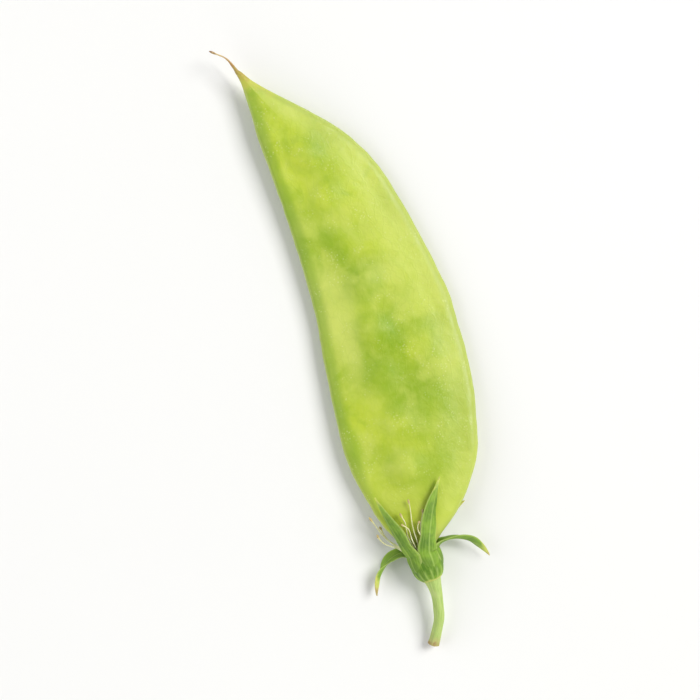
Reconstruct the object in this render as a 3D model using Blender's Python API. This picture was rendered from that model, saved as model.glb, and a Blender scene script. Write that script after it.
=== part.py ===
"""A snow pea pod as picked, lying on its broad side with its calyx and a stub of stalk.

X runs from the stalk to the beak, Y points to the ventral suture and Z is up. The pod rests on the
plane z = 0, and the whole object is centred over the origin. The sizes below are in millimetres,
measured from the middle of the pod's neck where it leaves the calyx. The meshes are in metres.
"""

import math

import bmesh
import bpy
import numpy as np

MM = 0.001

# The pod's two edges seen from above, and half its thickness at mid width, as (x, value)
VENTRAL_EDGE = (
    (-2.6, 1.2), (0, 1.3), (2, 2.4), (5, 4.0), (12, 6.1), (21, 6.8), (32, 5.5), (48, 2.9),
    (64, 1.9), (77, 1.7), (85, 1.2), (89.2, 1.05), (91.0, 1.35),
)
DORSAL_EDGE = (
    (-2.6, -1.2), (0, -1.3), (2, -3.5), (5, -7.8), (12, -14.0), (21, -17.5), (32, -19.5),
    (43, -20.1), (54, -18.9), (60, -17.9), (65.3, -16.9), (69, -15.7), (73, -13.7),
    (77.3, -10.8), (80.5, -8.0), (84, -4.8), (86.8, -2.3), (89, -0.6), (91.0, 0.45),
)
HALF_THICKNESS = (
    (-2.6, 1.2), (0, 1.3), (5, 1.9), (14, 2.15), (28, 2.3), (45, 2.2), (63, 1.95), (77, 1.55),
    (84, 1.15), (88.5, 0.65), (91.0, 0.45),
)
NECK_START = -2.6
BEAK_END = 91.0
ROUND_BELOW = 1.6  # half widths up to this have a round section
FLAT_FROM = 6.5  # half widths from this on have the full lens section
# Section shapes: thickness follows (1 - across**first)**second, where across runs from -1 to 1
ROUND_SECTION = (2.0, 0.5)
LENS_SECTION = (2.2, 0.8)
VENTRAL_RIM = 0.8  # radius of the thick seam along the ventral suture
DORSAL_RIM = 0.55
RIM_FADE = 1.8  # how far a seam's swelling goes on into the valve, as a share of its radius
SUTURE_GROOVE = 0.3

# The pod lies on the middle of one valve, and both ends rise a little. Its mid plane is slightly
# less than half a thickness up, so that it rests on a flat patch.
REST_HEIGHT = 2.08
REST_X = 46.0
END_RISE = 1.5
END_TWIST = math.radians(3.0)

SEED_COUNT = 8
FIRST_SEED_X = 15.5
SEED_PITCH = 8.2
SEED_RISE = 0.7
SEED_RISE_VARIES = 0.15  # as a share of the rise
SEED_SPREAD_X = 2.6
SEED_SPREAD_Y = 3.0
SEED_PLACE = 0.40  # share of the width from the ventral edge
SEED_PLACE_VARIES = 0.03

POD_RINGS = 64
POD_SIDES = 40
END_CROWDING = 0.6  # 0 spaces the pod's rings evenly, 1 the most closely at its ends
SHARP_ANGLE = math.radians(50)  # edges sharper than this aren't smoothed

# Calyx: x and radius down the outside of the cup and back up the inside
CUP_PROFILE = (
    (-4.5, 1.25), (-3.9, 1.95), (-2.9, 2.6), (-1.4, 2.9), (0.2, 2.95),
    (0.2, 2.55), (-1.5, 2.5), (-2.6, 2.4), (-2.95, 1.8),
)
CUP_SIDES = 24
GAP = 0.35  # left between pieces that touch
SEPAL_START = 0.2 + GAP
SEPAL_BASE_RADIUS = 2.75
SEPAL_THICKNESS = 0.4
SEPAL_BASE_WIDTH = 3.1
SEPAL_RINGS = 14
SEPAL_SQUARE_TO = 0.25  # a sepal's base is square to the cup, and follows its own way from here
SEPAL_SWELL_TO = 0.62  # share of its length where a sepal's swelling ends
SEPAL_SWELL = 1.4  # makes up for the taper, so that a sepal reaches its widest width
SEPAL_TAPER = (2.2, 0.9)
SEPAL_TIP = 0.08  # width left at the tip, as a share
SEPAL_CUP = 0.12  # how far a sepal's middle sinks below its margins, as a share of its width
# Round a sepal's section: share of the width from its middle, and 1 outside, 0 margin, -1 inside
SEPAL_SECTION = (
    (-0.5, 0), (-0.25, 1), (0, 1), (0.25, 1), (0.5, 0), (0.25, -1), (0, -1), (-0.25, -1),
)

# Each sepal: angle round the neck from the ventral side, widest width, and the way from its base
SEPALS = {
    "sepal_upper_left": (40, 3.5, ((3.4, 2.9, 2.6), (8.0, 4.0, 2.1), (12.6, 4.4, 1.5))),
    "sepal_side_left": (112, 3.3, ((3.4, -1.9, 3.1), (8.0, -4.4, 2.2), (12.2, -7.4, 2.7))),
    "sepal_lower": (180, 3.0, ((2.0, -3.7, 0.2), (1.6, -9.0, -0.3), (-4.2, -10.9, -1.5))),
    "sepal_side_right": (248, 3.0, ((3.0, -1.6, -2.95), (4.8, -5.6, -3.05), (6.2, -10.2, -2.9))),
    "sepal_upper_right": (320, 3.2, ((2.4, 3.0, -2.1), (1.6, 8.2, -2.0), (-4.0, 10.2, -1.6))),
}

PEDICEL_ROUTE = ((-4.92, 0, 0), (-8.6, 0, 0.25), (-12.2, 1.3, -0.7), (-15.4, 3.7, -2.2))
PEDICEL_RADII = ((0, 1.3), (0.12, 1.05), (0.5, 0.92), (0.9, 0.95), (1, 1.05))
PEDICEL_RINGS = 12
PEDICEL_SIDES = 12

# Stamens: a collar round the neck, which is open on the ventral side, and nine threads from its edge
COLLAR_INNER = 1.72
COLLAR_OUTER = 2.04
COLLAR_START = -2.3
COLLAR_END = 0.0
COLLAR_SLIT = math.radians(20)
COLLAR_STEPS = 18
THREAD_SUNK = 0.5  # length of a thread inside the collar's wall
THREAD_RADIUS = 0.17
THREAD_RINGS = 12
THREAD_SIDES = 6
ANTHER_RADIUS = 0.3
ANTHER_PLACE = 0.95
ANTHER_SPREAD = 0.07
# Each thread: angle round the neck, and the two points that it goes by on the way to its end
THREADS = (
    (26, ((1.6, 2.0, 0.5), (2.8, 5.0, -0.2), (6.2, 6.4, 0.8))),
    (60, ((2.2, 1.0, 2.1), (5.2, 1.7, 2.0), (8.6, 1.0, 2.1))),
    (68, ((2.2, 0.8, 2.3), (5.0, 0.7, 2.7), (7.0, 1.5, 3.1))),
    (78, ((2.2, 0.3, 2.3), (6.4, -0.2, 2.2), (10.4, -0.6, 2.1))),
    (88, ((2.2, -0.2, 2.3), (5.0, -1.4, 2.2), (8.0, -2.4, 2.1))),
    (98, ((2.0, -0.5, 2.2), (4.2, -0.7, 2.5), (6.2, -1.2, 3.2))),
    (-26, ((1.2, 2.1, -0.6), (3.6, 4.6, -1.2), (7.2, 5.8, -1.4))),
    (-64, ((2.0, 1.0, -2.1), (4.2, 2.6, -2.7), (6.8, 3.8, -2.8))),
    (-90, ((2.0, -0.2, -2.4), (4.2, 0.2, -2.9), (7.6, 0.4, -3.1))),
)
FREE_STAMEN_ROUTE = ((-1.9, 1.76, 0), (1.8, 1.6, 0), (4.0, 5.6, -0.4), (9.6, 6.9, 0.3))

STYLE_ROUTE = ((91.45, 0.9, 0), (92.9, 1.25, 0.2), (94.6, 2.4, 0.3), (95.6, 4.3, 1.0))
STYLE_RADII = ((0, 0.42), (0.3, 0.3), (0.8, 0.24), (1, 0.32))
STYLE_RINGS = 9
STYLE_SIDES = 8

COLOURS = {
    "pod": (0.40, 0.57, 0.07),
    "calyx": (0.25, 0.42, 0.06),
    "pedicel": (0.42, 0.55, 0.13),
    "stamen": (0.72, 0.68, 0.42),
    "style": (0.40, 0.25, 0.09),
}


def smooth_through(stations, at):
    """The value at a place on the smooth curve through (place, value) stations."""
    places, values = np.array(stations, float).T
    slopes = np.gradient(values, places)
    i = np.clip(np.searchsorted(places, at) - 1, 0, len(places) - 2)
    span = places[i + 1] - places[i]
    t = (at - places[i]) / span
    from_start = (1 + 2 * t) * (1 - t) ** 2 * values[i] + t * (1 - t) ** 2 * span * slopes[i]
    to_end = t * t * (3 - 2 * t) * values[i + 1] + t * t * (t - 1) * span * slopes[i + 1]
    return from_start + to_end


def bezier(points, t):
    """Point at t on the cubic curve with these four control points."""
    a, b, c, d = (np.array(p, float) for p in points)
    u = 1 - t
    return u**3 * a + 3 * u * u * t * b + 3 * u * t * t * c + t**3 * d


def heading(points, t):
    """Unit vector along the cubic curve at t."""
    a, b, c, d = (np.array(p, float) for p in points)
    u = 1 - t
    return unit(u * u * (b - a) + 2 * u * t * (c - b) + t * t * (d - c))


def unit(vector):
    return vector / np.linalg.norm(vector)


def square_to(vector, along):
    """The unit vector nearest to this one that is square to along."""
    return unit(vector - along * vector.dot(along))


def mid_height(x):
    """Height of the pod's mid plane above the surface that it lies on."""
    return REST_HEIGHT + END_RISE * ((x - REST_X) / REST_X) ** 2


NECK_HEIGHT = mid_height(0.0)


def seed_bulge(x, y):
    """How far the seeds push the valve out at this point."""
    rise = 0.0
    for i in range(SEED_COUNT):
        seed_x = FIRST_SEED_X + i * SEED_PITCH
        ventral, dorsal = smooth_through(VENTRAL_EDGE, seed_x), smooth_through(DORSAL_EDGE, seed_x)
        place = SEED_PLACE + SEED_PLACE_VARIES * math.sin(2.1 * i)
        seed_y = ventral - place * (ventral - dorsal)
        away = ((x - seed_x) / SEED_SPREAD_X) ** 2 + ((y - seed_y) / SEED_SPREAD_Y) ** 2
        size = 1 - SEED_RISE_VARIES * (1 - math.cos(1.7 * i))
        rise += SEED_RISE * size * math.exp(-away)
    return rise


def rim(distance, radius):
    """Half thickness of the rounded seam at this distance in from the edge."""
    if distance < radius:
        return math.sqrt(max(0.0, radius**2 - (radius - distance) ** 2))
    return radius * math.exp(-(((distance - radius) / (RIM_FADE * radius)) ** 2))


def pod_point(x, turn):
    """Point on the pod: turn goes round its section from the ventral edge over the upper valve."""
    ventral, dorsal = smooth_through(VENTRAL_EDGE, x), smooth_through(DORSAL_EDGE, x)
    half_width = (ventral - dorsal) / 2
    flatness = min(max((half_width - ROUND_BELOW) / (FLAT_FROM - ROUND_BELOW), 0), 1)
    across = math.cos(turn)
    y = (ventral + dorsal) / 2 + half_width * across
    inner, outer = (a + (b - a) * flatness for a, b in zip(ROUND_SECTION, LENS_SECTION))
    lens = (1 - abs(across) ** inner) ** outer
    thickness = smooth_through(HALF_THICKNESS, x) * lens
    radius = flatness * (VENTRAL_RIM if across > 0 else DORSAL_RIM)
    if radius > 0:
        thickness += rim((1 - abs(across)) * half_width, radius)
    thickness += flatness * seed_bulge(x, y) * lens
    height = mid_height(x) + math.sin(END_TWIST * (x - REST_X) / REST_X) * y
    z = max(height + math.copysign(thickness, math.sin(turn)), 0)
    if turn == 0:
        y -= SUTURE_GROOVE * flatness
    return (x, y, z)


def crowded_at_ends(count):
    """Numbers from 0 to 1 that lie closer together at both ends."""
    even = np.linspace(0, 1, count)
    return even + END_CROWDING * ((1 - np.cos(math.pi * even)) / 2 - even)


def lofted(name, rings, kind):
    """An object whose skin runs through rings of points, closed with a face at each end."""
    mesh = bmesh.new()
    loops = [[mesh.verts.new([value * MM for value in point]) for point in ring] for ring in rings]
    for near, far in zip(loops, loops[1:]):
        for i in range(len(near)):
            mesh.faces.new((near[i - 1], near[i], far[i], far[i - 1]))
    for end in (loops[0], loops[-1]):
        centre = mesh.verts.new(sum((v.co for v in end), end[0].co * 0) / len(end))
        for i in range(len(end)):
            mesh.faces.new((end[i - 1], end[i], centre))
    bmesh.ops.recalc_face_normals(mesh, faces=mesh.faces)
    return finished(name, mesh, kind)


def finished(name, mesh, kind):
    """The bmesh as a smooth-shaded object with its material."""
    data = bpy.data.meshes.new(name)
    mesh.to_mesh(data)
    mesh.free()
    data.shade_smooth()
    data.set_sharp_from_angle(angle=SHARP_ANGLE)
    data.materials.append(material(kind))
    obj = bpy.data.objects.new(name, data)
    bpy.context.scene.collection.objects.link(obj)
    return obj


def material(kind):
    """The plain material of this kind, made once."""
    found = bpy.data.materials.get(kind)
    if found:
        return found
    made = bpy.data.materials.new(kind)
    made.use_nodes = True
    shader = made.node_tree.nodes["Principled BSDF"]
    shader.inputs["Base Color"].default_value = (*COLOURS[kind], 1)
    shader.inputs["Roughness"].default_value = 0.5
    return made


def tube_rings(route, radius_at, rings, sides):
    """Rings of points round a curved route, square to it."""
    side = np.array((0.0, 0.0, 1.0))
    turns = [2 * math.pi * k / sides for k in range(sides)]
    out = []
    for t in np.linspace(0, 1, rings):
        along = heading(route, t)
        side = square_to(side, along)
        other = np.cross(along, side)
        centre, radius = bezier(route, t), radius_at(t)
        out.append([centre + radius * (math.cos(a) * side + math.sin(a) * other) for a in turns])
    return out


def from_neck(points):
    """Points given from the middle of the neck, as points above the surface."""
    return [(x, y, z + NECK_HEIGHT) for x, y, z in points]


def around_neck(x, radius, angle):
    """Point at this angle round the neck, counted from the ventral side towards the upper one."""
    return (x, radius * math.cos(angle), radius * math.sin(angle))


def make_pod():
    length = BEAK_END - NECK_START
    rings = [
        [pod_point(NECK_START + length * s, 2 * math.pi * k / POD_SIDES) for k in range(POD_SIDES)]
        for s in crowded_at_ends(POD_RINGS)
    ]
    return lofted("pod", rings, "pod")


def make_cup():
    turns = [2 * math.pi * k / CUP_SIDES for k in range(CUP_SIDES)]
    rings = [
        [(x, radius * math.cos(a), mid_height(x) + radius * math.sin(a)) for a in turns]
        for x, radius in CUP_PROFILE
    ]
    return lofted("calyx_cup", rings, "calyx")


def sepal_width(t, widest):
    """Width of a sepal at t of its length: it swells past its base and then runs to a point."""
    swell = math.sin(math.pi * min(t / SEPAL_SWELL_TO, 1)) ** 2
    inner, outer = SEPAL_TAPER
    taper = SEPAL_TIP + (1 - SEPAL_TIP) * (1 - t**inner) ** outer
    return (SEPAL_BASE_WIDTH + (widest - SEPAL_BASE_WIDTH) * SEPAL_SWELL * swell) * taper


def make_sepal(name, degrees, widest, way):
    """A pointed leaf-like lobe, hollowed along its middle, from the cup's rim."""
    angle = math.radians(degrees)
    route = from_neck((around_neck(SEPAL_START, SEPAL_BASE_RADIUS, angle), *way))
    out_of_cup = np.array((1.0, 0.0, 0.0))
    across = np.array((0.0, -math.sin(angle), math.cos(angle)))
    rings = []
    for t in np.linspace(0, 1, SEPAL_RINGS):
        along = heading(route, t)
        along = unit(along + (out_of_cup - along) * max(1 - t / SEPAL_SQUARE_TO, 0))
        across = square_to(across, along)
        outward = np.cross(across, along)
        width, centre = sepal_width(t, widest), bezier(route, t)
        ring = []
        for share, face in SEPAL_SECTION:
            sink = SEPAL_CUP * width * (4 * share * share - 0.5)
            thick = SEPAL_THICKNESS / 2 * face * (1 - 0.5 * t)
            ring.append(centre + across * width * share + outward * (thick - sink))
        rings.append(ring)
    return lofted(name, rings, "calyx")


def make_pedicel():
    route = from_neck(PEDICEL_ROUTE)
    rings = tube_rings(
        route, lambda t: smooth_through(PEDICEL_RADII, t), PEDICEL_RINGS, PEDICEL_SIDES
    )
    return lofted("pedicel", rings, "pedicel")


def make_collar():
    """The joined bases of the nine filaments, a short tube with a slit."""
    corners = (
        (COLLAR_START, COLLAR_INNER), (COLLAR_END, COLLAR_INNER),
        (COLLAR_END, COLLAR_OUTER), (COLLAR_START, COLLAR_OUTER),
    )
    turns = np.linspace(COLLAR_SLIT, 2 * math.pi - COLLAR_SLIT, COLLAR_STEPS)
    rings = [from_neck(around_neck(x, r, a) for x, r in corners) for a in turns]
    return lofted("stamen_sheath", rings, "stamen")


def thread_radius(t):
    """A thread is even, and swells to its dried anther at the end."""
    swelling = math.exp(-(((t - ANTHER_PLACE) / ANTHER_SPREAD) ** 2))
    return THREAD_RADIUS + (ANTHER_RADIUS - THREAD_RADIUS) * swelling


def make_stamens():
    """The collar with its nine threads joined to it."""
    collar = make_collar()
    middle = (COLLAR_INNER + COLLAR_OUTER) / 2
    for i, (degrees, way) in enumerate(THREADS):
        base = around_neck(COLLAR_END - THREAD_SUNK, middle, math.radians(degrees))
        rings = tube_rings(from_neck((base, *way)), thread_radius, THREAD_RINGS, THREAD_SIDES)
        thread = lofted(f"thread_{i}", rings, "stamen")
        thread.hide_render = True
        thread.display_type = "WIRE"
        join = collar.modifiers.new(thread.name, "BOOLEAN")
        join.operation = "UNION"
        join.object = thread
    return collar


def make_free_stamen():
    rings = tube_rings(from_neck(FREE_STAMEN_ROUTE), thread_radius, THREAD_RINGS, THREAD_SIDES)
    return lofted("free_stamen", rings, "stamen")


def make_style():
    lift = mid_height(BEAK_END)
    route = [(x, y, z + lift) for x, y, z in STYLE_ROUTE]
    rings = tube_rings(route, lambda t: smooth_through(STYLE_RADII, t), STYLE_RINGS, STYLE_SIDES)
    return lofted("style_tip", rings, "style")


def centre_over_origin(objects):
    """Moves every object so that the whole stands over the origin."""
    points = [v.co for obj in objects for v in obj.data.vertices]
    for axis in (0, 1):
        values = [p[axis] for p in points]
        for obj in objects:
            obj.location[axis] = -(min(values) + max(values)) / 2


def main():
    for obj in list(bpy.data.objects):
        bpy.data.objects.remove(obj, do_unlink=True)
    make_pod()
    make_cup()
    for name, (degrees, widest, way) in SEPALS.items():
        make_sepal(name, degrees, widest, way)
    make_pedicel()
    make_stamens()
    make_free_stamen()
    make_style()
    centre_over_origin(list(bpy.context.scene.collection.objects))


main()
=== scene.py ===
"""The looks of the snow pea pod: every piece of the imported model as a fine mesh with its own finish.

The pod lies on its broad side on z = 0. X runs from the stalk to the beak, Y points to the ventral
suture and Z is up. Shapes are worked out in millimetres from the middle of the pod's neck, where it
leaves the calyx, and put in the frame's metres at the end.
"""

import math

import bpy
import numpy as np
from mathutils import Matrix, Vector


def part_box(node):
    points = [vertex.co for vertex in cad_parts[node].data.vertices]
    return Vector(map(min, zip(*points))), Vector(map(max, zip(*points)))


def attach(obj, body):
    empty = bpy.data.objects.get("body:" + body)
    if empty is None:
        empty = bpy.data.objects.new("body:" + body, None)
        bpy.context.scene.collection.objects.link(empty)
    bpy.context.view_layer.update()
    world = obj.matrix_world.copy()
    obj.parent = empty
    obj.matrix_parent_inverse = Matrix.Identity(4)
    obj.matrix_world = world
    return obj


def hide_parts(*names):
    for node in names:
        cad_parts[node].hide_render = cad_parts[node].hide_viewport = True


MM = 0.001

# The pod's two edges seen from above, and half its thickness at mid width, as (x, value) in mm
VENTRAL_EDGE = (
    (-2.6, 1.2), (0, 1.3), (2, 2.4), (5, 4.0), (12, 6.1), (21, 6.8), (32, 5.5), (48, 2.9),
    (64, 1.9), (77, 1.7), (85, 1.2), (89.2, 1.05), (91.0, 1.35),
)
DORSAL_EDGE = (
    (-2.6, -1.2), (0, -1.3), (2, -3.5), (5, -7.8), (12, -14.0), (21, -17.5), (32, -19.5),
    (43, -20.1), (54, -18.9), (60, -17.9), (65.3, -16.9), (69, -15.7), (73, -13.7),
    (77.3, -10.8), (80.5, -8.0), (84, -4.8), (86.8, -2.3), (89, -0.6), (91.0, 0.45),
)
HALF_THICKNESS = (
    (-2.6, 1.2), (0, 1.3), (5, 1.9), (14, 2.15), (28, 2.3), (45, 2.2), (63, 1.95), (77, 1.55),
    (84, 1.15), (88.5, 0.65), (91.0, 0.45),
)
NECK_START = -2.6
BEAK_END = 91.0
ROUND_BELOW = 1.6
FLAT_FROM = 6.5
VENTRAL_RIM = 0.8
DORSAL_RIM = 0.55
RIM_FADE = 3.4
REST_HEIGHT = 2.08
REST_X = 46.0
END_RISE = 1.5
END_TWIST = math.radians(3.0)
REST_EASE = 0.10  # how gently the underside meets the surface that it lies on
BEAK_ROUNDING = 1.2  # the last stretch of the beak, which closes round the style
BEAK_CLOSING = 0.8
GROOVE_DEPTH, GROOVE_HALF_WIDTH = 0.30, 0.2  # along the ventral suture
KEEL_HEIGHT, KEEL_HALF_WIDTH = 0.16, 0.22  # along the dorsal edge
# Unevenness of the valves: height, stretch across, wavelength and seed
UNEVENNESS = ((0.20, 1.0, 17, 3), (0.035, 0.8, 5.5, 4), (0.012, 1.0, 1.9, 9))
PUCKER_HEIGHT, PUCKER_PLACE, PUCKER_REACH = 0.045, 1.9, 1.1  # just inside the rims
EDGE_LIFT = 0.12  # how far the two edges wander up and down
OTHER_FACE = 60.0  # shifts the patterns of the lower valve, so that they differ from the upper's
NOT_NEAR = 9.0  # a distance from a seam that is too large to show

SEED_COUNT = 8
FIRST_SEED_X = 15.5
SEED_PITCH = 8.2
SEED_RISE = 0.7
SEED_SPREAD_X = 2.6
SEED_SPREAD_Y = 3.0
SEED_PLACE = 0.40  # of the width, from the ventral edge

# Broad paler and deeper patches of the upper valve: x, y, reach in x and in y, and strength, which
# is positive for a paler patch
TONE_PATCHES = (
    (43, -0.5, 13, 3.6, 1.0), (38, -8.0, 4.5, 2.4, -1.0), (56, -4.0, 3.2, 3.0, -0.9),
    (48, -12, 7, 4.5, 0.55), (22, 4.2, 7, 1.8, -0.7), (28, -5.0, 5, 3.5, -0.6),
    (19, -10.5, 4.5, 4.0, 0.45), (72, -8.0, 9, 6.0, -0.5), (66, -1.0, 6, 3.0, 0.4),
)

POD_RINGS = 440
POD_SIDES = 208

CUP_PROFILE = (
    (-4.5, 0.9), (-4.45, 1.5), (-4.0, 2.05), (-3.2, 2.5), (-2.2, 2.8), (-1.0, 2.93), (0.35, 2.98),
)
CUP_INSIDE = ((0.45, 2.86), (0.3, 2.72), (-1.5, 2.5), (-2.6, 2.4), (-2.95, 1.2))
CUP_RADIUS = 2.95
CUP_RIBS = 15
CUP_RINGS, CUP_SIDES = 40, 120
SEPAL_BASE_RADIUS = 2.75
SEPAL_START = 0.55
SEPAL_BASE_WIDTH = 3.75
# The part of each sepal that lies along the calyx tube, as (x, distance from its axis)
SEPAL_BACK = ((-2.4, 2.55), (-1.6, 2.86), (-0.6, 2.97), (0.3, 2.93))
# Veins, as place across from -1 to 1 and height
SEPAL_VEINS = ((0, 0.08), (0.36, 0.035), (-0.36, 0.035), (0.66, 0.03), (-0.66, 0.03))
VEIN_HALF_WIDTH = 0.13
SEPAL_BACK_RINGS, SEPAL_RINGS, SEPAL_HALF_SIDES = 14, 70, 22
# Place round the calyx in degrees, greatest width and the route from the cup
SEPALS = {
    "sepal_upper_left": (40, 3.7, ((3.4, 2.9, 2.6), (8.0, 4.0, 2.1), (12.6, 4.4, 1.5))),
    "sepal_side_left": (112, 3.5, ((3.4, -1.9, 3.1), (8.0, -4.4, 2.2), (12.2, -7.4, 2.7))),
    "sepal_lower": (180, 3.2, ((2.0, -3.7, 0.2), (1.6, -9.0, -0.3), (-4.2, -10.9, -1.5))),
    "sepal_side_right": (248, 3.2, ((3.0, -1.6, -2.95), (4.8, -5.6, -3.05), (6.2, -10.2, -2.9))),
    "sepal_upper_right": (320, 3.4, ((2.4, 3.0, -2.1), (1.6, 8.2, -2.0), (-4.0, 10.2, -1.6))),
}
# How yellow and dry each sepal is at its tip, and how far its tip is twisted, in radians
SEPAL_AGE = {
    "sepal_upper_left": (0.25, 0.15),
    "sepal_side_left": (0.35, -0.5),
    "sepal_lower": (0.5, 0.9),
    "sepal_side_right": (0.4, 0.2),
    "sepal_upper_right": (0.9, -1.5),
}

PEDICEL_ROUTE = ((-4.3, 0, 0), (-8.6, 0, 0.25), (-12.2, 1.3, -0.7), (-15.4, 3.7, -2.2))
PEDICEL_RADII = ((0, 1.5), (0.06, 1.3), (0.18, 1.03), (0.5, 0.92), (0.9, 0.95), (1, 1.04))
PEDICEL_RINGS, PEDICEL_SIDES = 110, 56
# The broken end, as share of its radius and distance out
PEDICEL_BREAK = ((0.93, 0.05), (0.72, 0.0), (0.5, -0.12), (0.25, -0.16))

# Nine joined filaments, as place round the collar in degrees and the route from it
THREADS = (
    (26, ((1.6, 2.0, 0.5), (2.8, 5.0, -0.2), (6.2, 6.4, 0.8))),
    (60, ((2.2, 1.0, 2.1), (5.2, 1.7, 2.0), (8.6, 1.0, 2.1))),
    (68, ((2.2, 0.8, 2.3), (5.0, 0.7, 2.7), (7.0, 1.5, 3.1))),
    (78, ((2.2, 0.3, 2.3), (6.4, -0.2, 2.2), (10.4, -0.6, 2.1))),
    (88, ((2.2, -0.2, 2.3), (5.0, -1.4, 2.2), (8.0, -2.4, 2.1))),
    (98, ((2.0, -0.5, 2.2), (4.2, -0.7, 2.5), (6.2, -1.2, 3.2))),
    (-26, ((1.2, 2.1, -0.6), (3.6, 4.6, -1.2), (7.2, 5.8, -1.4))),
    (-64, ((2.0, 1.0, -2.1), (4.2, 2.6, -2.7), (6.8, 3.8, -2.8))),
    (-90, ((2.0, -0.2, -2.4), (4.2, 0.2, -2.9), (7.6, 0.4, -3.1))),
)
FREE_STAMEN_ROUTE = ((-1.9, 1.76, 0), (1.8, 1.6, 0), (4.0, 5.6, -0.4), (9.6, 6.9, 0.3))
THREAD_RADIUS, THREAD_CURL, ANTHER_RADIUS = 0.13, 0.38, 0.17
THREAD_RINGS, THREAD_SIDES = 64, 10
COLLAR_RADIUS, COLLAR_HALF_WALL = 1.84, 0.07
COLLAR_SLIT = math.radians(20)  # half of it
STYLE_ROUTE = ((90.3, 0.88, 0), (92.9, 1.25, 0.2), (94.6, 2.4, 0.3), (95.6, 4.3, 1.0))
STYLE_RADII = ((0, 0.46), (0.12, 0.4), (0.35, 0.27), (0.8, 0.2), (0.93, 0.26), (1, 0.1))
STYLE_RINGS, STYLE_SIDES = 90, 20


# ---- shared shapes ----


def smooth_through(stations, at):
    """Values at these places on the smooth curve through (place, value) stations."""
    places, values = np.array(stations, float).T
    slopes = np.gradient(values, places)
    i = np.clip(np.searchsorted(places, at) - 1, 0, len(places) - 2)
    span = places[i + 1] - places[i]
    t = (at - places[i]) / span
    from_start = (1 + 2 * t) * (1 - t) ** 2 * values[i] + t * (1 - t) ** 2 * span * slopes[i]
    to_end = t * t * (3 - 2 * t) * values[i + 1] + t * t * (t - 1) * span * slopes[i + 1]
    return from_start + to_end


def smoothstep(low, high, value):
    """0 below low and 1 above high, with a smooth rise between them."""
    t = np.clip((value - low) / (high - low), 0, 1)
    return t * t * (3 - 2 * t)


def bezier(points, t):
    """Points at t on the cubic curve with these four control points."""
    a, b, c, d = (np.array(p, float) for p in points)
    t = np.asarray(t, float)[..., None]
    u = 1 - t
    return u**3 * a + 3 * u * u * t * b + 3 * u * t * t * c + t**3 * d


def ripples(x, y, wavelength, seed, count=14):
    """A smooth irregular field, about -1 to 1, whose bumps are about half a wavelength across."""
    draw = np.random.default_rng(seed)
    total = np.zeros(np.broadcast(x, y).shape)
    for _ in range(count):
        angle = draw.uniform(0, 2 * math.pi)
        reach = 2 * math.pi / (wavelength * draw.uniform(0.7, 1.5))
        phase = draw.uniform(0, 2 * math.pi)
        total += np.sin(reach * (math.cos(angle) * x + math.sin(angle) * y) + phase)
    return total / math.sqrt(2 * count)


def mid_height(x):
    """Height of the middle plane between the valves."""
    return REST_HEIGHT + END_RISE * ((x - REST_X) / REST_X) ** 2


NECK_HEIGHT = mid_height(0.0)


def around_neck(x, radius, angle):
    """The point at this angle round the axis of the neck."""
    return (x, radius * math.cos(angle), radius * math.sin(angle) + NECK_HEIGHT)


def from_neck(points):
    """Points given from the middle of the neck, with the neck's height added."""
    return [(x, y, z + NECK_HEIGHT) for x, y, z in points]


def unit(vectors):
    return vectors / np.linalg.norm(vectors, axis=-1, keepdims=True)


# ---- meshes ----


def object_from(name, points, faces, node, marks=None):
    """An object in the frame from points in millimetres, with values for its material to read."""
    offset = np.array((ORIGIN_X, ORIGIN_Y, 0.0))
    data = bpy.data.meshes.new(name)
    data.from_pydata((points * MM + offset).tolist(), [], faces)
    data.validate()
    for mark, values in (marks or {}).items():
        kind, field = ("FLOAT_VECTOR", "vector") if values.ndim == 2 else ("FLOAT", "value")
        attribute = data.attributes.new(mark, kind, "POINT")
        attribute.data.foreach_set(field, values.astype(np.float32).ravel())
    data.shade_smooth()
    obj = bpy.data.objects.new(name, data)
    bpy.context.scene.collection.objects.link(obj)
    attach(obj, "root")
    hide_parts(node)
    return obj


def loft(rings):
    """Points and outward faces of a closed skin over an array of rings (ring, side, 3).

    Each end closes with a fan, whose centre comes after the rings' own points.
    """
    count, sides = rings.shape[:2]
    centres = np.stack((rings[0].mean(0), rings[-1].mean(0)))
    points = np.concatenate((rings.reshape(-1, 3), centres))
    k = np.arange(sides)
    after = (k + 1) % sides
    near = sides * np.arange(count - 1)[:, None]
    far = near + sides
    quads = np.stack((near + k, near + after, far + after, far + k), axis=-1).reshape(-1, 4)
    first_fan = np.stack((after, k, np.full(sides, count * sides)), axis=-1)
    last = (count - 1) * sides
    last_fan = np.stack((last + k, last + after, np.full(sides, count * sides + 1)), axis=-1)
    fans = np.concatenate((first_fan, last_fan))
    a, b, c = np.moveaxis(points[np.concatenate((quads[:, :3], quads[:, [0, 2, 3]], fans))], 1, 0)
    if (a * np.cross(b, c)).sum() < 0:  # the volume inside
        quads, fans = quads[:, ::-1], fans[:, ::-1]
    return points, quads.tolist() + fans.tolist()


def with_ends(values):
    """Values per ring point, with those of the two fan centres added."""
    ends = np.stack((values[0].mean(0), values[-1].mean(0)))
    return np.concatenate((values.reshape(-1, *values.shape[2:]), ends))


def frames_along(path, first_side):
    """Unit vectors along a path, to its side and out of it, turning as little as they can."""
    along = unit(np.gradient(path, axis=0))
    side = np.empty_like(path)
    current = np.array(first_side, float)
    for i, direction in enumerate(along):
        current = current - direction * current.dot(direction)
        current /= np.linalg.norm(current)
        side[i] = current
    return along, side, np.cross(side, along)


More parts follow.
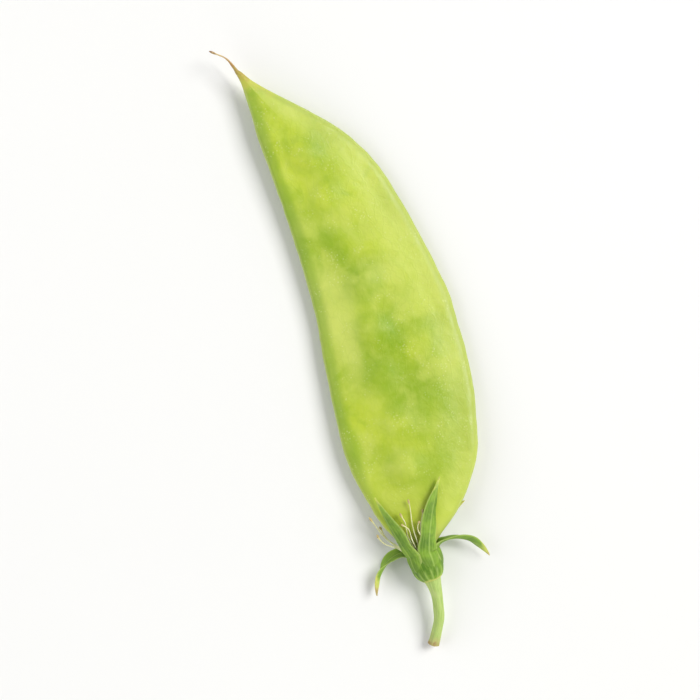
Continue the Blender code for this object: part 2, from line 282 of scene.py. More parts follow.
def tube(path, radius, sides, squash=1.0):
    """Rings round a path. radius is one number per ring, or one per ring and side."""
    _, side, out = frames_along(path, (0.0, 0.0, 1.0))
    turn = 2 * math.pi * np.arange(sides) / sides
    radius = np.broadcast_to(np.asarray(radius, float).reshape(len(path), -1), (len(path), sides))
    across = (radius * np.cos(turn))[..., None] * side[:, None]
    return path[:, None] + across + (radius * squash * np.sin(turn))[..., None] * out[:, None]


# ---- the pod ----


def seed_bulge(x, y, lower):
    """How far the seeds push the valve out, as a share of a full bulge."""
    rise = np.zeros(np.broadcast(x, y).shape)
    for i in range(SEED_COUNT):
        seed_x = FIRST_SEED_X + i * SEED_PITCH
        ventral, dorsal = smooth_through(VENTRAL_EDGE, seed_x), smooth_through(DORSAL_EDGE, seed_x)
        seed_y = ventral - (SEED_PLACE + 0.03 * math.sin(2.1 * i)) * (ventral - dorsal)
        skew = 0.25 * math.sin(3.3 * i + lower)
        away_x = (x - seed_x + skew * (y - seed_y)) / SEED_SPREAD_X
        away_y = (y - seed_y) / SEED_SPREAD_Y
        size = 0.76 + 0.20 * math.cos(1.7 * i + 0.5) + 0.04 * math.sin(4.1 * i)
        rise += size * np.exp(-((away_x**2 + away_y**2) ** 1.15))
    return rise


def upper_tone(x, y):
    """How pale or deep the upper valve's green is, from about 1 to -1."""
    wander_x, wander_y = 1.6 * ripples(x, y, 9, 61), 1.1 * ripples(x, y, 7, 62)
    total = 0.0
    for patch_x, patch_y, reach_x, reach_y, strength in TONE_PATCHES:
        away_x = (x + wander_x - patch_x) / reach_x
        away_y = (y + wander_y - patch_y) / reach_y
        total = total + strength * np.exp(-(away_x**2) - away_y**2)
    return total


def rim_profile(distance, radius):
    """Half thickness of the rounded seam at this distance in from the edge."""
    inside = np.sqrt(np.clip(radius**2 - (radius - distance) ** 2, 0, None))
    beyond = radius * np.exp(-(((distance - radius) / (RIM_FADE * radius)) ** 2))
    return np.where(distance < radius, inside, beyond)


def make_pod():
    """The two grown-together valves, with their sutures, from the neck to the end of the beak."""
    s = np.linspace(0, 1, POD_RINGS)
    x = NECK_START + (BEAK_END - NECK_START) * (0.75 * s + 0.125 * (1 - np.cos(math.pi * s)))
    x = x[:, None]
    turn = 2 * math.pi * np.arange(POD_SIDES)[None] / POD_SIDES
    across, upper = np.cos(turn), np.sin(turn) >= 0
    ventral, dorsal = smooth_through(VENTRAL_EDGE, x), smooth_through(DORSAL_EDGE, x)
    closing = np.sqrt(1 - BEAK_CLOSING * np.clip((x - BEAK_END) / BEAK_ROUNDING + 1, 0, 1) ** 2)
    half_width = (ventral - dorsal) / 2 * closing
    flatness = np.clip((half_width - ROUND_BELOW) / (FLAT_FROM - ROUND_BELOW), 0, 1)
    y = (ventral + dorsal) / 2 + half_width * across
    from_edge = (1 - np.abs(across)) * half_width
    lens = (1 - np.abs(across) ** (2 + 0.2 * flatness)) ** (0.5 + 0.3 * flatness)
    face = np.where(upper, 0.0, OTHER_FACE)

    thickness = smooth_through(HALF_THICKNESS, x) * lens * closing
    radius = flatness * np.where(across > 0, VENTRAL_RIM, DORSAL_RIM) + 1e-6
    thickness = thickness + np.where(flatness > 0, rim_profile(from_edge, radius), 0)
    bulge = np.where(upper, seed_bulge(x, y, 0), seed_bulge(x, y, 1))
    thickness = thickness + SEED_RISE * flatness * bulge * lens
    inner = flatness * smoothstep(0.6, 3.5, from_edge)
    for uneven, stretch, wavelength, seed in UNEVENNESS:
        thickness = thickness + inner * uneven * ripples(x, y * stretch + face, wavelength, seed)
    pucker = np.exp(-(((from_edge - PUCKER_PLACE) / PUCKER_REACH) ** 2)) * flatness
    thickness = thickness + pucker * PUCKER_HEIGHT * ripples(x * 1.8, y * 0.35 + face, 4.0, 5)

    height = mid_height(x) + np.sin(END_TWIST * (x - REST_X) / REST_X) * y
    height = height + EDGE_LIFT * flatness * across**2 * ripples(x, 9.0 * across, 24, 6)
    z = height + np.where(upper, thickness, -thickness)
    z = (z + np.sqrt(z**2 + REST_EASE**2)) / 2  # no lower than the surface that it lies on

    edge_wave = 0.10 * ripples(x, 40.0 * across, 9.0, 7) + 0.04 * ripples(x, 9.0 * across, 3.2, 8)
    y = y + flatness * edge_wave * np.abs(across) ** 3
    off_seam = z - height
    groove = GROOVE_DEPTH * flatness * np.exp(-((off_seam / GROOVE_HALF_WIDTH) ** 2)) * (across > 0.9)
    keel = KEEL_HEIGHT * flatness * np.exp(-((off_seam / KEEL_HALF_WIDTH) ** 2)) * (across < -0.9)
    y = y - groove - keel

    rings = np.stack(np.broadcast_arrays(x, y, z), axis=-1)
    points, faces = loft(rings)
    shape = z.shape
    skin = np.stack(np.broadcast_arrays(x, (1 - across) * half_width + face, 0 * z), axis=-1)
    marks = {
        "skin": with_ends(skin),
        "seed": with_ends(np.broadcast_to(bulge * lens, shape)),
        "ventral": with_ends(np.where(across > 0, from_edge, NOT_NEAR) + 0 * z),
        "dorsal": with_ends(np.where(across < 0, from_edge, NOT_NEAR) + 0 * z),
        "seam": with_ends(np.where(across > 0.9, np.abs(off_seam), NOT_NEAR) + 0 * z),
        "along": with_ends(np.broadcast_to(x, shape) * 1.0),
        "tone": with_ends(np.where(upper, upper_tone(x, y), 0.7 * ripples(x, y, 28, 63))),
    }
    obj = object_from("pod_skin", points, faces, "pod", marks)
    obj.data.materials.append(pod_material())
    return obj


# ---- the calyx ----


def make_cup():
    """The short calyx tube, ribbed outside and open towards the pod."""
    steps = np.linspace(0, len(CUP_PROFILE) - 1, CUP_RINGS)
    places = np.arange(len(CUP_PROFILE))
    outer_x, outer_r = (
        smooth_through(np.column_stack((places, values)), steps) for values in zip(*CUP_PROFILE)
    )
    inner_x, inner_r = zip(*CUP_INSIDE)
    x = np.concatenate((outer_x, inner_x))[:, None]
    radius = np.concatenate((outer_r, inner_r))[:, None]
    outside = (np.arange(len(x)) < len(outer_x))[:, None]
    turn = 2 * math.pi * np.arange(CUP_SIDES)[None] / CUP_SIDES
    crest = np.abs(np.cos(CUP_RIBS / 2 * turn))
    ribs = 0.07 * crest**3 + 0.04 * np.cos(5 * turn + 0.6)
    uneven = 0.05 * ripples(x * 1.5, 2.6 * turn, 4, 21)
    ribs = ribs * (1 - 0.8 * smoothstep(-2.9, -1.7, x))
    radius = radius + np.where(outside, (ribs + uneven) * smoothstep(-4.6, -3.4, x), 0)
    rings = np.stack(
        np.broadcast_arrays(x, radius * np.cos(turn), mid_height(x) + radius * np.sin(turn)), axis=-1
    )
    points, faces = loft(rings)
    shape = radius.shape
    marks = {
        "skin": with_ends(np.stack(np.broadcast_arrays(x, turn * 2.8, 0 * radius), axis=-1)),
        "rib": with_ends(crest**6 * (1 - smoothstep(-2.9, -1.9, x))),
        "dry": with_ends(np.broadcast_to(smoothstep(-3.6, -4.5, x) * 0.5, shape) * 1.0),
        "margin": with_ends(np.zeros(shape)),
    }
    obj = object_from("calyx_tube", points, faces, "calyx_cup", marks)
    obj.data.materials.append(CALYX_MATERIAL)
    return obj


def make_sepal(name, degrees, widest, way, seed):
    """A pointed lobe: an arc of the calyx tube at its base, a veined leaf from there on."""
    dryness, twist = SEPAL_AGE[name]
    angle = math.radians(degrees)
    back_start = SEPAL_BACK[0][0]
    places = np.linspace(back_start, SEPAL_START - 0.3, SEPAL_BACK_RINGS)
    radii = smooth_through(SEPAL_BACK, places)
    back = np.array([around_neck(x, r, angle) for x, r in zip(places, radii)])
    route = (around_neck(SEPAL_START, SEPAL_BASE_RADIUS + 0.12, angle), *from_neck(way))
    leaf = bezier(route, np.linspace(0, 1, SEPAL_RINGS))
    path = np.concatenate((back, leaf))
    count = len(path)
    reach = np.concatenate(([0], np.cumsum(np.linalg.norm(np.diff(path, axis=0), axis=1))))
    base = reach[len(back)]
    t = np.clip((reach - base) / (reach[-1] - base), 0, 1)
    along, side, _ = frames_along(path, (0.0, -math.sin(angle), math.cos(angle)))
    roll = (twist * smoothstep(0.25, 1.0, t))[:, None]
    out = np.cross(side, along)
    side, out = np.cos(roll) * side + np.sin(roll) * out, np.cos(roll) * out - np.sin(roll) * side

    swell = np.sin(math.pi * np.clip(t / 0.7, 0, 1)) ** 2
    point = (1 - t**2.0) ** 0.85 * (1 - 0.25 * smoothstep(0.55, 0.95, t)) + 0.02
    narrow = np.where(reach > base, 1, smoothstep(back_start, 0.2, path[:, 0]))
    waist = 1 - 0.14 * np.exp(-(((t - 0.2) / 0.1) ** 2))
    width = (SEPAL_BASE_WIDTH + (widest - SEPAL_BASE_WIDTH) * 1.5 * swell) * point * waist
    width = width * (0.75 + 0.25 * narrow)
    half = SEPAL_HALF_SIDES
    u = np.cos(math.pi * np.arange(half + 1) / half)
    u = np.concatenate((u, u[1:-1][::-1]))
    top = np.concatenate((np.ones(half + 1), -np.ones(half - 1)))
    top[[0, half]] = 0
    u, top = u[None], top[None]
    w, tt = width[:, None], t[:, None]
    curve_radius = CUP_RADIUS + 2.0 * tt
    sag = np.sqrt(np.clip(curve_radius**2 - (w * u / 2) ** 2, 0.01, None)) - curve_radius
    fold = -0.10 * w * np.abs(u) * smoothstep(0.1, 0.5, tt)
    wave = 0.10 * w / widest * np.abs(u) ** 2.5 * ripples(reach[:, None] * 1.0, 3.0 * u, 4.5, seed)
    veins = 0.0
    for place, depth in SEPAL_VEINS:
        veins = veins + depth * np.exp(-(((u - place) * w / 2 / VEIN_HALF_WIDTH) ** 2))
    thick = (0.05 + 0.13 * (1 - np.abs(u) ** 2.5)) * (1 - 0.5 * tt)
    outer_side = np.where(top > 0, thick + veins * (1 - 0.6 * tt), 0)
    lift = sag + fold + wave + outer_side - np.where(top < 0, thick, 0)
    rings = path[:, None] + (w * u / 2)[..., None] * side[:, None] + lift[..., None] * out[:, None]
    rings[..., 2] = np.maximum(rings[..., 2], 0.04)  # none dips below the surface
    points, faces = loft(rings)
    shape = (count, u.shape[1])
    dry = dryness * smoothstep(0.55, 1.05, tt + 0.12 * np.abs(u) ** 3) + 0.3 * smoothstep(0.85, 1.0, tt)
    marks = {
        "skin": with_ends(np.stack(np.broadcast_arrays(reach[:, None], u * w / 2, top * 5.0), axis=-1)),
        "rib": with_ends(np.broadcast_to(np.clip(veins / SEPAL_VEINS[0][1], 0, 1), shape) * 1.0),
        "dry": with_ends(np.broadcast_to(dry, shape) * 1.0),
        "margin": with_ends(np.broadcast_to(smoothstep(0.75, 1.0, np.abs(u)), shape) * 1.0),
    }
    obj = object_from(name + "_leaf", points, faces, name, marks)
    obj.data.materials.append(CALYX_MATERIAL)
    return obj


# ---- stalk, stamens and style ----


def make_pedicel():
    """The stalk, finely ribbed, with the ragged end where it broke off."""
    t = np.linspace(0, 1, PEDICEL_RINGS)
    path = bezier(from_neck(PEDICEL_ROUTE), t)
    path[:, 1] += 0.10 * np.sin(9 * t) * t
    turn = 2 * math.pi * np.arange(PEDICEL_SIDES)[None] / PEDICEL_SIDES
    radius = smooth_through(PEDICEL_RADII, t)[:, None]
    ribs = 0.045 * np.cos(5 * turn + 1.5 * t[:, None]) + 0.018 * np.cos(13 * turn)
    uneven = 0.05 * ripples(t[:, None] * 11, turn * 1.2, 3.5, 31)
    radius = radius + ribs + uneven
    rings = tube(path, radius, PEDICEL_SIDES)
    cut = rings[-1].mean(0)
    direction = unit(path[-1] - path[-3])
    ragged = 0.10 * ripples(turn[0] * 1.4, 0 * turn[0], 2.2, 33)
    inner = []
    for share, depth in PEDICEL_BREAK:
        inner.append(cut + (rings[-1] - cut) * share + (depth + ragged[:, None] * share) * direction)
    rings = np.concatenate((rings, np.stack(inner)))
    points, faces = loft(rings)
    count = len(rings)
    at = np.concatenate((t, 1 + 0.02 * np.arange(1, len(PEDICEL_BREAK) + 1)))[:, None]
    cut_mark = smoothstep(0.985, 1.02, at) + np.zeros((count, PEDICEL_SIDES))
    marks = {
        "skin": with_ends(np.stack(np.broadcast_arrays(at * 13, turn * 1.0, 0 * cut_mark), axis=-1)),
        "cut": with_ends(cut_mark),
        "along": with_ends(at + 0 * cut_mark),
    }
    obj = object_from("stalk", points, faces, "pedicel", marks)
    obj.data.materials.append(stalk_material())
    return obj


def curled_thread(route, seed, curl, radius, anther):
    """Rings of a dried filament that wanders more towards its end, where the anther hangs on."""
    t = np.linspace(0, 1, THREAD_RINGS)
    path = bezier(route, t)
    draw = np.random.default_rng(seed)
    turns, phase = draw.uniform(1.1, 1.9), draw.uniform(0, 2 * math.pi)
    _, side, out = frames_along(path, (0.0, 0.0, 1.0))
    reach = (curl * smoothstep(0.15, 1.0, t))[:, None]
    swing = (2 * math.pi * turns * t + phase)[:, None]
    path = path + reach * (np.cos(swing) * side + 0.8 * np.sin(swing) * out)
    path[:, 2] = np.maximum(path[:, 2], radius + 0.05)
    end = np.exp(-(((t - 0.965) / 0.03) ** 2))
    width = radius * (1.25 - 0.35 * t) * (1 + 0.12 * np.sin(23 * t + seed)) + anther * end
    width[-1] *= 0.45
    return tube(path, width, THREAD_SIDES, squash=0.75), t


def joined(parts):
    """Points and faces of several closed skins in one mesh."""
    points, faces, first = [], [], 0
    for part_points, part_faces in parts:
        points.append(part_points)
        faces += [[i + first for i in face] for face in part_faces]
        first += len(part_points)
    return np.concatenate(points), faces


def make_collar():
    """The grown-together bases of nine filaments: a thin dried tube with a slit and a torn edge."""
    turn = np.linspace(COLLAR_SLIT, 2 * math.pi - COLLAR_SLIT, 120)
    torn = 0.55 + 0.45 * ripples(turn * 3, 0 * turn, 2.4, 41)
    torn = torn + 0.25 * ripples(turn * 3, 0 * turn, 0.8, 42)
    share = np.linspace(0, 1, 16)
    x = -2.3 + share[:, None] * (2.7 + torn[None])
    radius = COLLAR_RADIUS + 0.05 * ripples(x, turn[None] * 2, 1.6, 43)
    radius = radius + 0.25 * smoothstep(0.6, 1.0, share)[:, None]
    rings = []
    for k in range(len(turn)):
        wall = []
        sides = ((COLLAR_HALF_WALL, slice(None)), (-COLLAR_HALF_WALL, slice(None, None, -1)))
        for offset, order in sides:
            r = radius[order, k] + offset
            wall.append(np.stack(
                (x[order, k], r * math.cos(turn[k]), NECK_HEIGHT + r * math.sin(turn[k])), axis=-1
            ))
        rings.append(np.concatenate(wall))
    return loft(np.array(rings))


def make_stamens():
    """The nine joined filaments on their collar."""
    parts, dry = [], []
    points, faces = make_collar()
    parts.append((points, faces))
    dry.append(np.full(len(points), 0.15))
    for i, (degrees, way) in enumerate(THREADS):
        route = (around_neck(-0.5, 1.88, math.radians(degrees)), *from_neck(way))
        rings, t = curled_thread(route, 50 + i, THREAD_CURL, THREAD_RADIUS, ANTHER_RADIUS)
        points, faces = loft(rings)
        parts.append((points, faces))
        dry.append(with_ends(np.broadcast_to(t[:, None], rings.shape[:2]) * 1.0))
    points, faces = joined(parts)
    marks = {"dry": np.concatenate(dry)}
    obj = object_from("withered_stamens", points, faces, "stamen_sheath", marks)
    obj.data.materials.append(THREAD_MATERIAL)
    return obj


def make_free_stamen():
    """The tenth filament, along the ventral edge."""
    rings, t = curled_thread(from_neck(FREE_STAMEN_ROUTE), 71, 0.4, 0.14, 0.18)
    points, faces = loft(rings)
    marks = {"dry": with_ends(np.broadcast_to(t[:, None], rings.shape[:2]) * 1.0)}
    obj = object_from("tenth_stamen", points, faces, "free_stamen", marks)
    obj.data.materials.append(THREAD_MATERIAL)
    return obj


def make_style():
    """The dried style, out of the beak, with its stigma at the end."""
    t = np.linspace(0, 1, STYLE_RINGS)
    lift = mid_height(BEAK_END)
    path = bezier([(x, y, z + lift) for x, y, z in STYLE_ROUTE], t)
    path[:, 2] += 0.18 * np.sin(7 * t) * t
    path[:, 1] += 0.15 * np.sin(10 * t) * t
    turn = 2 * math.pi * np.arange(STYLE_SIDES)[None] / STYLE_SIDES
    wrinkles = 1 + 0.12 * np.cos(4 * turn + 5 * t[:, None]) + 0.08 * np.sin(31 * t)[:, None]
    rings = tube(path, smooth_through(STYLE_RADII, t)[:, None] * wrinkles, STYLE_SIDES, squash=0.7)
    points, faces = loft(rings)
    marks = {"dry": with_ends(np.broadcast_to(t[:, None], rings.shape[:2]) * 1.0)}
    obj = object_from("withered_style", points, faces, "style_tip", marks)
    obj.data.materials.append(style_material())
    return obj


# ---- materials ----


class Finish:
    """A Principled material with short calls for the nodes that this script uses."""

    def __init__(self, name):
        self.material = bpy.data.materials.new(name)
        self.material.use_nodes = True
        self.tree = self.material.node_tree
        self.shader = self.tree.nodes["Principled BSDF"]

    def put(self, socket, value):
        if isinstance(value, bpy.types.NodeSocket):
            self.tree.links.new(value, socket)
        elif socket.type == "RGBA":
            socket.default_value = (*value, 1)
        else:
            socket.default_value = value

    def set(self, **values):
        """Sets the shader's sockets, named with _ for a space."""
        for name, value in values.items():
            self.put(self.shader.inputs[name.replace("_", " ")], value)

    def node(self, kind, values=(), **settings):
        made = self.tree.nodes.new("ShaderNode" + kind)
        for key, value in settings.items():
            setattr(made, key, value)
        for key, value in dict(values).items():
            self.put(made.inputs[key], value)
        return made

    def place(self):
        """Coordinates in metres."""
        return self.node("TexCoord").outputs["Object"]

    def mark(self, name, output="Fac"):
        return self.node("Attribute", attribute_name=name).outputs[output]

    def stretched(self, vector, scale, turn=0.0):
        values = {"Vector": vector, "Scale": scale, "Rotation": (0, 0, turn)}
        return self.node("Mapping", values).outputs["Vector"]

    def noise(self, vector, scale, detail=3.0, roughness=0.55, distortion=0.0):
        values = {
            "Vector": vector, "Scale": scale, "Detail": detail, "Roughness": roughness,
            "Distortion": distortion,
        }
        return self.node("TexNoise", values).outputs[0]

    def noise_warp(self, vector, scale, amount):
        """The vector pushed about by noise, so that a pattern on it looks grown."""
        push = self.node("TexNoise", {"Vector": vector, "Scale": scale, "Detail": 2.0}).outputs["Color"]
        centred = self.node("VectorMath", {0: push, 1: (0.5, 0.5, 0.5)}, operation="SUBTRACT").outputs[0]
        scaled = self.node("VectorMath", {0: centred, 3: amount * 2}, operation="SCALE").outputs[0]
        return self.node("VectorMath", {0: vector, 1: scaled}, operation="ADD").outputs[0]

    def cell_edges(self, vector, scale):
        values = {"Vector": vector, "Scale": scale}
        return self.node("TexVoronoi", values, feature="DISTANCE_TO_EDGE").outputs["Distance"]

    def cells(self, vector, scale):
        return self.node("TexVoronoi", {"Vector": vector, "Scale": scale}).outputs["Distance"]

    def step(self, value, low, high, to_low=0.0, to_high=1.0):
        """A smooth step from to_low, where value is low, to to_high."""
        values = {"Value": value, "From Min": low, "From Max": high, "To Min": to_low, "To Max": to_high}
        return self.node("MapRange", values, interpolation_type="SMOOTHSTEP").outputs["Result"]

    def math(self, operation, a, b=0.0):
        return self.node("Math", {0: a, 1: b}, operation=operation).outputs[0]

    def mix(self, factor, a, b):
        """The colour a where factor is 0 and b where it is 1."""
        return self.node("Mix", {0: factor, 6: a, 7: b}, data_type="RGBA").outputs[2]

    def bump(self, height, distance, under=None):
        """A normal raised by height, with distance in metres, on top of the normal under it."""
        values = {"Height": height, "Distance": distance, "Strength": 1.0}
        if under is not None:
            values["Normal"] = under
        return self.node("Bump", values).outputs["Normal"]


def pod_material():
    """Waxy green skin: mottled, faintly veined, pale along the sutures and browned at the beak."""
    f = Finish("pod_skin")
    place, skin = f.place(), f.mark("skin", "Vector")
    # Green, in broad and small patches
    broad = f.noise(place, 55, 2.5, 0.5, 0.4)
    patches = f.noise(place, 160, 3, 0.55, 0.6)
    fine = f.noise(place, 900, 3, 0.6)
    colour = f.mix(f.step(broad, 0.36, 0.64), (0.275, 0.415, 0.016), (0.48, 0.585, 0.04))
    colour = f.mix(f.step(patches, 0.45, 0.66, 0, 0.5), colour, (0.555, 0.63, 0.105))
    colour = f.mix(f.step(patches, 0.48, 0.30, 0, 0.5), colour, (0.255, 0.405, 0.01))
    tone = f.mark("tone")
    colour = f.mix(f.step(tone, 0.1, 1.0, 0, 0.75), colour, (0.585, 0.655, 0.135))
    colour = f.mix(f.step(tone, -0.1, -0.9, 0, 0.9), colour, (0.25, 0.40, 0.006))
    colour = f.mix(f.step(fine, 0.35, 0.7, 0, 0.16), colour, (0.575, 0.635, 0.12))

    # Faint cross veins
    veins = f.cell_edges(f.stretched(f.noise_warp(skin, 0.35, 1.4), (0.30, 0.62, 1.0), 0.95), 1.0)
    vein = f.step(veins, 0.14, 0.0)
    colour = f.mix(f.math("MULTIPLY", vein, 0.07), colour, (0.231, 0.381, 0.027))

    # Painted highlight on top of each seed's bulge, painted shade round it
    seed = f.mark("seed")
    colour = f.mix(f.step(seed, 0.45, 0.95, 0, 0.22), colour, (0.536, 0.619, 0.117))
    ring = f.math("MULTIPLY", f.step(seed, 0.02, 0.22), f.step(seed, 0.6, 0.3))
    colour = f.mix(f.math("MULTIPLY", ring, 0.18), colour, (0.278, 0.425, 0.036))

    # Painted shade: a deeper green band inside the ventral suture, where that edge turns away from the
    # light; paler inside the dorsal edge
    ventral, dorsal = f.mark("ventral"), f.mark("dorsal")
    colour = f.mix(f.step(ventral, 2.8, 1.3, 0, 0.6), colour, (0.241, 0.381, 0.027))
    colour = f.mix(f.step(ventral, 0.55, 0.15, 0, 0.75), colour, (0.481, 0.566, 0.153))
    colour = f.mix(f.step(f.mark("seam"), 0.22, 0.03, 0, 0.7), colour, (0.185, 0.274, 0.036))
    colour = f.mix(f.step(dorsal, 6.5, 1.8, 0, 0.5), colour, (0.555, 0.63, 0.14))
    colour = f.mix(f.step(dorsal, 1.8, 0.6, 0, 0.7), colour, (0.40, 0.485, 0.09))

    # Clusters of fine pale specks
    specks = f.step(f.cells(place, 2100), 0.42, 0.12)
    thinned = f.step(f.noise(place, 330, 3, 0.6), 0.46, 0.70)
    specks = f.math("MULTIPLY", f.math("MULTIPLY", specks, thinned), 0.4)
    colour = f.mix(specks, colour, (0.684, 0.726, 0.324))

    # Paler at the calyx, yellow and then brown at the beak
    along = f.mark("along")
    colour = f.mix(f.step(along, 24, 8, 0, 0.35), colour, (0.527, 0.619, 0.063))
    ragged = f.math("ADD", along, f.step(f.noise(place, 420, 3), 0.2, 0.8, -2.2, 2.2))
    colour = f.mix(f.step(ragged, 84.5, 89.5, 0, 0.75), colour, (0.555, 0.531, 0.081))
    colour = f.mix(f.step(ragged, 88.2, 91.5, 0, 0.85), colour, (0.38, 0.22, 0.06))
    colour = f.mix(f.step(along, 5.0, -0.5, 0, 0.5), colour, (0.574, 0.637, 0.27))

    f.set(
        Base_Color=colour, Roughness=f.step(patches, 0.3, 0.7, 0.38, 0.56), IOR=1.42,
        Subsurface_Weight=0.22, Subsurface_Radius=(0.9, 1.2, 0.3), Subsurface_Scale=0.0012,
        Coat_Weight=0.06, Coat_Roughness=0.32,
    )
    normal = f.bump(f.noise(place, 700, 4, 0.6), 0.00006)
    normal = f.bump(f.noise(place, 3200, 2, 0.5), 0.000012, normal)
    normal = f.bump(vein, 0.00001, normal)
    f.set(Normal=normal)
    return f.material


def calyx_material():
    """Leaf green with paler veins and margins, yellow and then brown where it dries."""
    f = Finish("calyx_green")
    place, skin = f.place(), f.mark("skin", "Vector")
    mottle = f.noise(place, 420, 3, 0.6, 0.4)
    colour = f.mix(f.step(mottle, 0.3, 0.7), (0.085, 0.20, 0.008), (0.20, 0.36, 0.022))
    streaks = f.noise(f.stretched(skin, (0.5, 4.0, 1.0)), 1.0, 3, 0.6)
    colour = f.mix(f.step(streaks, 0.45, 0.75, 0, 0.35), colour, (0.36, 0.52, 0.08))
    colour = f.mix(f.math("MULTIPLY", f.mark("rib"), 0.5), colour, (0.46, 0.60, 0.15))
    colour = f.mix(f.math("MULTIPLY", f.mark("margin"), 0.55), colour, (0.52, 0.64, 0.18))
    dry = f.math("ADD", f.mark("dry"), f.step(f.noise(place, 800, 3), 0.2, 0.8, -0.14, 0.14))
    colour = f.mix(f.step(dry, 0.15, 0.5), colour, (0.55, 0.58, 0.13))
    colour = f.mix(f.step(dry, 0.55, 0.95), colour, (0.45, 0.33, 0.12))
    f.set(
        Base_Color=colour, Roughness=f.step(mottle, 0.3, 0.7, 0.5, 0.68), IOR=1.4,
        Subsurface_Weight=0.3, Subsurface_Radius=(0.8, 1.1, 0.25), Subsurface_Scale=0.0006,
    )
    normal = f.bump(streaks, 0.00008)
    normal = f.bump(f.noise(place, 2600, 3, 0.55), 0.00002, normal)
    f.set(Normal=normal)
    return f.material


def stalk_material():
    """Pale green, finely ribbed skin, and a browned fibrous cut end."""
    f = Finish("stalk_green")
    place, skin = f.place(), f.mark("skin", "Vector")
    fibres = f.noise(f.stretched(skin, (0.35, 9.0, 1.0)), 1.0, 3, 0.6)
    colour = f.mix(f.step(fibres, 0.3, 0.7), (0.33, 0.49, 0.10), (0.52, 0.64, 0.22))
    colour = f.mix(f.step(f.noise(place, 350, 3), 0.5, 0.75, 0, 0.4), colour, (0.60, 0.66, 0.30))
    along = f.math("ADD", f.mark("along"), f.step(f.noise(place, 700, 3), 0.2, 0.8, -0.06, 0.06))
    colour = f.mix(f.step(along, 0.82, 0.97, 0, 0.7), colour, (0.50, 0.46, 0.17))
    colour = f.mix(f.step(along, 0.95, 1.01, 0, 0.85), colour, (0.36, 0.22, 0.08))
    pith = f.step(f.noise(place, 2600, 2), 0.35, 0.65)
    colour = f.mix(f.mark("cut"), colour, f.mix(pith, (0.42, 0.30, 0.13), (0.66, 0.58, 0.33)))
    f.set(
        Base_Color=colour, Roughness=f.step(fibres, 0.3, 0.7, 0.48, 0.66), IOR=1.4,
        Subsurface_Weight=0.2, Subsurface_Radius=(0.9, 1.1, 0.3), Subsurface_Scale=0.0008,
    )
    normal = f.bump(fibres, 0.00009)
    normal = f.bump(f.noise(place, 2400, 3, 0.55), 0.00002, normal)
    f.set(Normal=normal)
    return f.material


def thread_material():
    """Papery cream filaments that go straw and brown towards the anthers."""
    f = Finish("withered_thread")
    place = f.place()
    mottle = f.noise(place, 1100, 3, 0.6)
    colour = f.mix(f.step(mottle, 0.3, 0.7), (0.72, 0.72, 0.38), (0.85, 0.86, 0.58))
    colour = f.mix(f.step(f.mark("dry"), 0.55, 0.92, 0, 0.5), colour, (0.66, 0.58, 0.26))
    colour = f.mix(f.step(f.mark("dry"), 0.92, 0.97, 0, 0.85), colour, (0.48, 0.36, 0.15))
    f.set(
        Base_Color=colour, Roughness=f.step(mottle, 0.3, 0.7, 0.6, 0.8), IOR=1.4,
        Subsurface_Weight=0.3, Subsurface_Radius=(1.0, 0.9, 0.6), Subsurface_Scale=0.0004,
        Normal=f.bump(f.noise(place, 3000, 3), 0.00003),
    )
    return f.material


def style_material():
    """Green where the beak ends, then dry straw and dark brown at the tip."""
    f = Finish("dried_style")
    place = f.place()
    mottle = f.noise(place, 1500, 3, 0.6)
    dry = f.math("ADD", f.mark("dry"), f.step(mottle, 0.2, 0.8, -0.12, 0.12))
    colour = f.mix(f.step(dry, 0.0, 0.3), (0.42, 0.33, 0.08), (0.46, 0.27, 0.09))
    colour = f.mix(f.step(dry, 0.3, 0.7), colour, (0.60, 0.46, 0.22))
    colour = f.mix(f.step(dry, 0.75, 1.0), colour, (0.25, 0.13, 0.05))
    f.set(
        Base_Color=colour, Roughness=f.step(mottle, 0.3, 0.7, 0.55, 0.75), IOR=1.4,
        Subsurface_Weight=0.15, Subsurface_Radius=(1.0, 0.7, 0.4), Subsurface_Scale=0.0004,
        Normal=f.bump(f.noise(place, 2600, 3), 0.00004),
    )
    return f.material


# ---- stage, light and camera ----


def make_floor():
    """A plain pale surface under the pod."""
    size, drop = 6.0, 0.00003
    corners = [(-size, -size, -drop), (size, -size, -drop), (size, size, -drop), (-size, size, -drop)]
    data = bpy.data.meshes.new("floor")
    data.from_pydata(corners, [], [(0, 1, 2, 3)])
    floor = bpy.data.objects.new("floor", data)
    bpy.context.scene.collection.objects.link(floor)
    f = Finish("floor")
    f.set(
        Base_Color=f.mix(f.noise(f.place(), 9, 2), (0.83, 0.83, 0.82), (0.86, 0.86, 0.85)),
        Roughness=0.7,
    )
    data.materials.append(f.material)


def add_light(name, place, aim, size, power, colour=(1, 1, 1)):
    """A soft square lamp at place, facing aim."""
    lamp = bpy.data.lights.new(name, "AREA")
    lamp.size, lamp.energy, lamp.color = size, power, colour
    obj = bpy.data.objects.new(name, lamp)
    bpy.context.scene.collection.objects.link(obj)
    obj.location = place
    obj.rotation_mode = "QUATERNION"
    obj.rotation_quaternion = (place - aim).to_track_quat("Z", "Y")
    obj.visible_camera = False


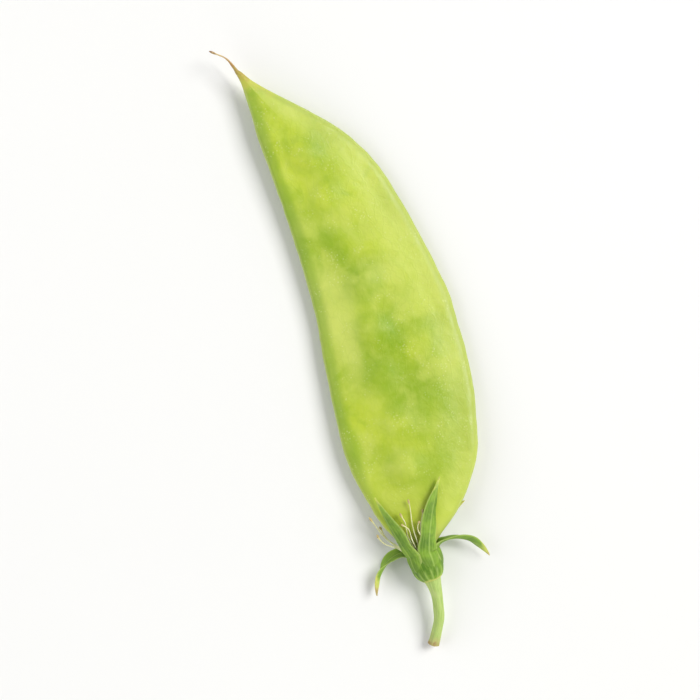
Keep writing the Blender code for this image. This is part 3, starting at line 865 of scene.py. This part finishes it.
def make_world():
    """White surroundings that are brightest at the horizon."""
    world = bpy.data.worlds.new("studio")
    world.use_nodes = True
    tree = world.node_tree
    direction = tree.nodes.new("ShaderNodeTexCoord").outputs["Generated"]
    upward = tree.nodes.new("ShaderNodeSeparateXYZ")
    tree.links.new(direction, upward.inputs[0])
    strength = tree.nodes.new("ShaderNodeMapRange")
    strength.interpolation_type = "SMOOTHSTEP"
    for socket, value in (("From Min", 0.0), ("From Max", 0.6), ("To Min", 0.85), ("To Max", 0.31)):
        strength.inputs[socket].default_value = value
    tree.links.new(upward.outputs["Z"], strength.inputs["Value"])
    background = tree.nodes["Background"]
    background.inputs["Color"].default_value = (1.0, 1.0, 1.0, 1)
    tree.links.new(strength.outputs["Result"], background.inputs["Strength"])
    bpy.context.scene.world = world


CAMERA_LENS = 85.0
CAMERA_SENSOR = 36.0
CAMERA_ROLL = math.radians(-110.5)  # the beak points up and leans to the left
FRAME_HEIGHT = 1.16  # of the object's own height in the picture
PICTURE_RIGHT = np.array((math.cos(CAMERA_ROLL), math.sin(CAMERA_ROLL), 0))
PICTURE_UP = np.array((-math.sin(CAMERA_ROLL), math.cos(CAMERA_ROLL), 0))


def make_camera(pieces):
    """Looks straight down on the pod, with its beak up and its ventral edge on the left."""
    points = np.array([vertex.co for piece in pieces for vertex in piece.data.vertices])
    across, upward = points @ PICTURE_RIGHT, points @ PICTURE_UP
    centre = (across.min() + across.max()) / 2 * PICTURE_RIGHT
    centre = centre + (upward.min() + upward.max()) / 2 * PICTURE_UP
    data = bpy.data.cameras.new("camera")
    data.lens, data.sensor_width = CAMERA_LENS, CAMERA_SENSOR
    data.clip_start = 0.01
    camera = bpy.data.objects.new("camera", data)
    bpy.context.scene.collection.objects.link(camera)
    distance = (upward.max() - upward.min()) * FRAME_HEIGHT * CAMERA_LENS / CAMERA_SENSOR
    camera.location = (centre[0], centre[1], points[:, 2].max() + distance)
    camera.rotation_euler = (0, 0, CAMERA_ROLL)
    bpy.context.scene.camera = camera
    return centre


def make_studio(pieces):
    centre = make_camera(pieces)

    def at(across, upward, height):
        """A place given as it lies in the picture, and its height, in metres."""
        return Vector(centre + across * PICTURE_RIGHT + upward * PICTURE_UP + (0, 0, height))

    aim = at(0, 0, 0)
    add_light("key", at(2.2, 1.2, 2.7), aim, 1.8, 116, (1.0, 0.99, 0.97))
    add_light("fill", at(-3.0, 0.6, 2.52), aim, 3.0, 47, (0.97, 0.99, 1.0))
    add_light("low", at(0.3, -3.6, 1.32), aim, 2.1, 32)
    make_world()
    make_floor()


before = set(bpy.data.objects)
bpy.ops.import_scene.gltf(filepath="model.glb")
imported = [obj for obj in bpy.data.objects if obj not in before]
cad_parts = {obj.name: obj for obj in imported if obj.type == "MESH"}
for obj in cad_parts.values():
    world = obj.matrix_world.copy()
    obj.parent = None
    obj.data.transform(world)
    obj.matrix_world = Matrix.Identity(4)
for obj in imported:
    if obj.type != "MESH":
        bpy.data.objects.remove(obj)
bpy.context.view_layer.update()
CAD_POD_LOW, CAD_POD_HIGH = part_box("pod")
ORIGIN_X = CAD_POD_LOW.x - NECK_START * MM
EDGE_PLACES = np.linspace(NECK_START, BEAK_END, 2000)
EDGE_MIDDLE = (
    smooth_through(VENTRAL_EDGE, EDGE_PLACES).max() + smooth_through(DORSAL_EDGE, EDGE_PLACES).min()
) / 2
ORIGIN_Y = (CAD_POD_LOW.y + CAD_POD_HIGH.y) / 2 - EDGE_MIDDLE * MM

CALYX_MATERIAL = calyx_material()
THREAD_MATERIAL = thread_material()
made = [make_pod(), make_cup(), make_pedicel(), make_stamens(), make_free_stamen(), make_style()]
for number, (sepal, (degrees, widest, way)) in enumerate(SEPALS.items()):
    made.append(make_sepal(sepal, degrees, widest, way, 80 + number))
make_studio(made)
bpy.context.scene.view_settings.view_transform = "Standard"
